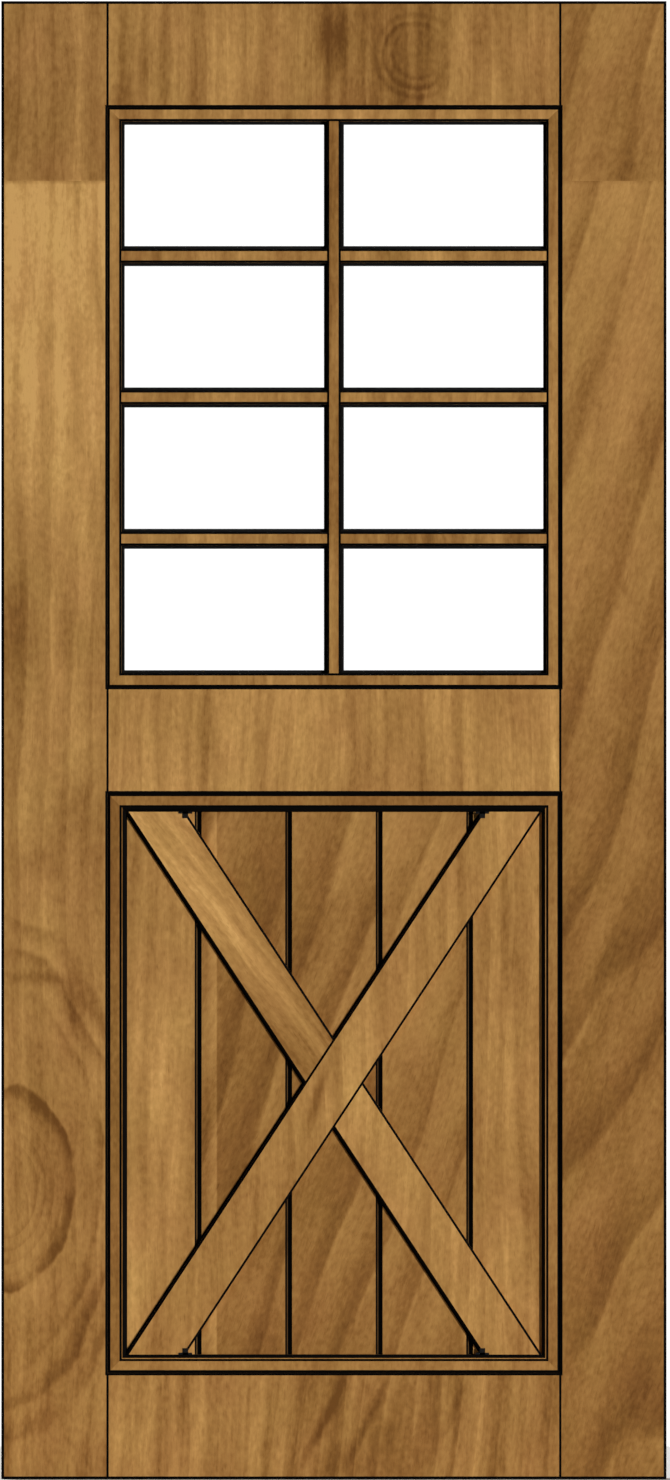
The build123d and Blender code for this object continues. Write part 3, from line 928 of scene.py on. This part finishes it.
def stand_up(made, sockets, flat, side):
    """Stands a flat drawing up against one face of the door, -1 for the front and 1 for the back."""
    depth = calc(made, "MULTIPLY", sockets["Level"], float(side))
    offset = add(made, "ShaderNodeCombineXYZ", {"Y": depth}).outputs[0]
    place = calc_vector(made, "ADD", sockets["Grid Middle"], offset)
    turn = (-side * math.pi / 2, 0.0, 0.0)
    settings = {"Geometry": flat, "Translation": place, "Rotation": turn}
    return add(made, "GeometryNodeTransform", settings).outputs[0]


def on_both_faces(made, sockets, flat):
    """Stands a flat drawing up against the front and the back."""
    both = add(made, "GeometryNodeJoinGeometry")
    for side in (-1, 1):
        made.links.new(stand_up(made, sockets, flat, side), both.inputs[0])
    return both.outputs[0]


print("helpers for copies: grid_spots, on_spots, moved, stand_up, on_both_faces")

# %% [markdown]
# ## Mottled finishes
# Rubber gathers dust, brass tarnishes and blackened steel wears, so none of the three is one flat colour.
# One fine even noise moves both their colour and their roughness, which is enough on pieces this small.

# %% Mottled finishes
def mottled_finish(name, turns, detail, tones, roughness, swing, **constants):
    """A finish whose colour and roughness follow fine even noise, with other sockets set by name."""
    material, tree, shader, point = new_finish(name)
    mottle = field(tree, point, {"turns": (turns, turns, turns), "detail": detail})
    tree.links.new(ramp(tree, mottle, tones), shader.inputs["Base Color"])
    tree.links.new(calc(tree, "MULTIPLY_ADD", mottle, swing, roughness), shader.inputs["Roughness"])
    for socket, value in constants.items():
        shader.inputs[socket].default_value = value
    return material


DULL = {"Specular IOR Level": 0.1}
METAL = {"Metallic": 1.0}
print("dull black:", DULL, "and metal:", METAL)

# %% [markdown]
# ## The grid of lights
# A light is one opening of the sash. Its size and its spacing are read off the joinery: the lower left one
# lies between the left sash member and the upright bar, and between the bottom member and the first bar.

# %% Light sizes
LIGHT_COLUMNS, LIGHT_ROWS = 2, 4
left_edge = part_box("left_sash_member")[1].x
bar_left, bar_right = (corner.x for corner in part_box("upright_glazing_bar"))
bottom_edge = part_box("bottom_sash_member")[1].z
bar_low, bar_high = (corner.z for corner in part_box("left_glazing_bar_1"))
light_size = Vector((bar_left - left_edge, bar_low - bottom_edge))
light_pitch = Vector((bar_right - left_edge, bar_high - bottom_edge))
grid_middle = Vector((
    left_edge + (LIGHT_COLUMNS * light_pitch.x - (bar_right - bar_left)) / 2, 0,
    bottom_edge + (LIGHT_ROWS * light_pitch.y - (bar_high - bar_low)) / 2,
))
print("lights:", light_size, "every", light_pitch, "round", grid_middle)

# %% Points for the lights
grid_sizes = {
    "Light Width": light_size.x, "Light Height": light_size.y, "Column Pitch": light_pitch.x,
    "Row Pitch": light_pitch.y,
}


def on_each_light(made, sockets, shape):
    """Copies a shape to the middle of every light, drawn flat, to be stood up later."""
    wide = calc(made, "MULTIPLY", sockets["Column Pitch"], LIGHT_COLUMNS - 1)
    high = calc(made, "MULTIPLY", sockets["Row Pitch"], LIGHT_ROWS - 1)
    return on_spots(made, grid_spots(made, wide, high, LIGHT_COLUMNS, LIGHT_ROWS), shape)


print("grid:", LIGHT_COLUMNS, "by", LIGHT_ROWS)

# %% [markdown]
# ## Seals round the panes
# A black line runs round every pane, half on the bevel of the wood and half on the glass. The half on the
# glass is a soft black seal that keeps water out of the rebate, on the front and on the back. It could be a
# frame of four boxes. Here a rounded section follows the outline of the light, as an extruded seal does. Its
# corners are mitred, and a mitre narrows the section it is swept from, so the section is drawn wider first.

# %% Seal rubber
RUBBER_TONES = ((0.3, srgb(5, 5, 5)), (0.8, srgb(16, 15, 14)))
seal_rubber = mottled_finish(
    "seal_rubber", turns=260.0, detail=3.0, tones=RUBBER_TONES, roughness=0.5, swing=0.3, **DULL,
)
print("rubber:", seal_rubber.name)

# %% Seal section
SEAL_SIZES = {**grid_sizes, "Seal Width": 0.0042, "Seal Height": 0.0026, "Rounding": 0.0009}
ROUNDING_STEPS = 3
CORNER_SHIFT = -0.5
MITRE_FACTOR = math.sqrt(2)
seal_tree, sockets = geometry_tree("pane_seals", SEAL_SIZES)
drawn_width = calc(seal_tree, "MULTIPLY", sockets["Seal Width"], MITRE_FACTOR)
section = add(seal_tree, "GeometryNodeCurvePrimitiveQuadrilateral", {
    "Width": drawn_width, "Height": sockets["Seal Height"],
}).outputs[0]
section = add(seal_tree, "GeometryNodeFilletCurve", {
    "Curve": section, "Radius": sockets["Rounding"], "Count": ROUNDING_STEPS,
}, mode="POLY").outputs[0]
section_size = add(seal_tree, "ShaderNodeCombineXYZ", {
    "X": drawn_width, "Y": sockets["Seal Height"],
}).outputs[0]
section = moved(seal_tree, section, scale_vector(seal_tree, section_size, CORNER_SHIFT))
print("seal:", SEAL_SIZES["Seal Width"], "by", SEAL_SIZES["Seal Height"], "m")

# %% Seals
glass_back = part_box("bottom_left_pane")[1].y
outline = add(seal_tree, "GeometryNodeCurvePrimitiveQuadrilateral", {
    "Width": sockets["Light Width"], "Height": sockets["Light Height"],
}).outputs[0]
ring = add(seal_tree, "GeometryNodeCurveToMesh", {"Curve": outline, "Profile Curve": section}).outputs[0]
flat_seals = on_each_light(seal_tree, sockets, ring)
finish_tree(seal_tree, on_both_faces(seal_tree, sockets, flat_seals), sockets["Finish"])
seal_values = {**SEAL_SIZES, "Grid Middle": grid_middle, "Level": glass_back, "Finish": seal_rubber}
seals = run_tree(seal_tree, seal_values, "pane_seals")
print("seals:", len(seals.data.polygons), "faces, box", extent(seals))

# %% [markdown]
# ## Pins in the beads
# Behind the glass each pane is held by four mitred beads, and each bead by a few brass pins driven into the
# sash. Their heads stand on the flat of the bead, clear of its bevel. Two small grids of points give the
# places round one light, one for the level beads and one for the upright ones, and a flattened sphere makes
# the head.

# %% Pin brass
BRASS_TONES = ((0.3, srgb(96, 74, 40)), (0.8, srgb(168, 136, 78)))
pin_brass = mottled_finish(
    "pin_brass", turns=420.0, detail=2.0, tones=BRASS_TONES, roughness=0.55, swing=-0.2, **METAL,
)
print("brass:", pin_brass.name)

# %% Pin places
PIN_SIZES = {**grid_sizes, "Pin Radius": 0.0009, "Bead Inset": 0.0048}
LEVEL_PINS, UPRIGHT_PINS, BEADS_ACROSS = 4, 3, 2
pin_tree, sockets = geometry_tree("bead_pins", PIN_SIZES)
both_insets = calc(pin_tree, "MULTIPLY", sockets["Bead Inset"], 2.0)
pin_width = calc(pin_tree, "ADD", both_insets, sockets["Light Width"])
pin_height = calc(pin_tree, "ADD", both_insets, sockets["Light Height"])
level_run = calc(pin_tree, "MULTIPLY", sockets["Light Width"], (LEVEL_PINS - 1) / LEVEL_PINS)
upright_run = calc(pin_tree, "MULTIPLY", sockets["Light Height"], (UPRIGHT_PINS - 1) / UPRIGHT_PINS)
spots = add(pin_tree, "GeometryNodeJoinGeometry")
level_spots = grid_spots(pin_tree, level_run, pin_height, LEVEL_PINS, BEADS_ACROSS)
upright_spots = grid_spots(pin_tree, pin_width, upright_run, BEADS_ACROSS, UPRIGHT_PINS)
pin_tree.links.new(level_spots, spots.inputs[0])
pin_tree.links.new(upright_spots, spots.inputs[0])
print("pins a light:", BEADS_ACROSS * (LEVEL_PINS + UPRIGHT_PINS))

# %% Pins
PIN_SIDES, PIN_RINGS = 12, 6
PIN_DOME = (1.0, 1.0, 0.4)
sash_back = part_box("upright_glazing_bar")[1].y
ball = add(pin_tree, "GeometryNodeMeshUVSphere", {
    "Segments": PIN_SIDES, "Rings": PIN_RINGS, "Radius": sockets["Pin Radius"],
}).outputs["Mesh"]
head = add(pin_tree, "GeometryNodeTransform", {"Geometry": ball, "Scale": PIN_DOME}).outputs[0]
flat_pins = on_each_light(pin_tree, sockets, on_spots(pin_tree, spots.outputs[0], head))
finish_tree(pin_tree, stand_up(pin_tree, sockets, flat_pins, 1), sockets["Finish"])
pin_values = {**PIN_SIZES, "Grid Middle": grid_middle, "Level": sash_back, "Finish": pin_brass}
pins = run_tree(pin_tree, pin_values, "bead_pins")
print("pins:", len(pins.data.polygons), "faces, box", extent(pins))

# %% [markdown]
# ## Clips at the brace corners
# A small black T shows at the inner corner of every brace end, where the brace meets the moulding. It is
# made as a steel clip: a flange along the moulding's lip, and a tab on the brace. Two overlapping boxes would
# leave faces inside each other, so a union makes them one plate. A grid of two by two points stands for the
# corners of one face, and the clips of its upper row are turned round to point down.

# %% Clip steel
STEEL_TONES = ((0.3, srgb(6, 6, 6)), (0.8, srgb(18, 17, 16)))
clip_steel = mottled_finish(
    "clip_steel", turns=500.0, detail=2.0, tones=STEEL_TONES, roughness=0.4, swing=0.3, **DULL,
)
print("steel:", clip_steel.name)

# %% One clip
CLIP_SIZES = {
    "Corner Width": field_right - field_left - 2 * brace_end, "Corner Height": field_high - field_low,
    "Flange Width": 0.0185, "Flange Height": 0.0026, "Tab Width": 0.0075, "Tab Height": 0.0088,
    "Thickness": 0.0012,
}
CLIP_SEAT = (0.0, 0.5, 0.5)
clip_tree, sockets = geometry_tree("brace_clips", CLIP_SIZES)


def clip_plate(width, height):
    """A thin plate that stands on the edge of the field, drawn flat."""
    sides = {"X": width, "Y": height, "Z": sockets["Thickness"]}
    size = add(clip_tree, "ShaderNodeCombineXYZ", sides).outputs[0]
    plate = add(clip_tree, "GeometryNodeMeshCube", {"Size": size}).outputs["Mesh"]
    return moved(clip_tree, plate, calc_vector(clip_tree, "MULTIPLY", size, CLIP_SEAT))


clip = add(clip_tree, "GeometryNodeMeshBoolean", operation="UNION")
for part in ("Flange", "Tab"):
    plate = clip_plate(sockets[f"{part} Width"], sockets[f"{part} Height"])
    clip_tree.links.new(plate, clip.inputs["Mesh 2"])
print("clip:", CLIP_SIZES["Flange Width"], "by", CLIP_SIZES["Tab Height"], "m")

# %% Clips
CORNERS_ACROSS = 2
brace_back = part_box("through_brace_back")[1].y
field_middle = Vector(((field_left + field_right) / 2, 0, (field_low + field_high) / 2))
corners = grid_spots(
    clip_tree, sockets["Corner Width"], sockets["Corner Height"], CORNERS_ACROSS, CORNERS_ACROSS,
)
row = part_of(clip_tree, add(clip_tree, "GeometryNodeInputPosition").outputs[0], "Y")
half_turn = calc(clip_tree, "MULTIPLY", calc(clip_tree, "GREATER_THAN", row, 0.0), math.pi)
turn = add(clip_tree, "ShaderNodeCombineXYZ", {"Z": half_turn}).outputs[0]
flat_clips = on_spots(clip_tree, corners, clip.outputs[0], turn)
finish_tree(clip_tree, on_both_faces(clip_tree, sockets, flat_clips), sockets["Finish"])
clip_values = {**CLIP_SIZES, "Grid Middle": field_middle, "Level": brace_back, "Finish": clip_steel}
clips = run_tree(clip_tree, clip_values, "brace_clips")
print("clips:", len(clips.data.polygons), "faces, box", extent(clips))
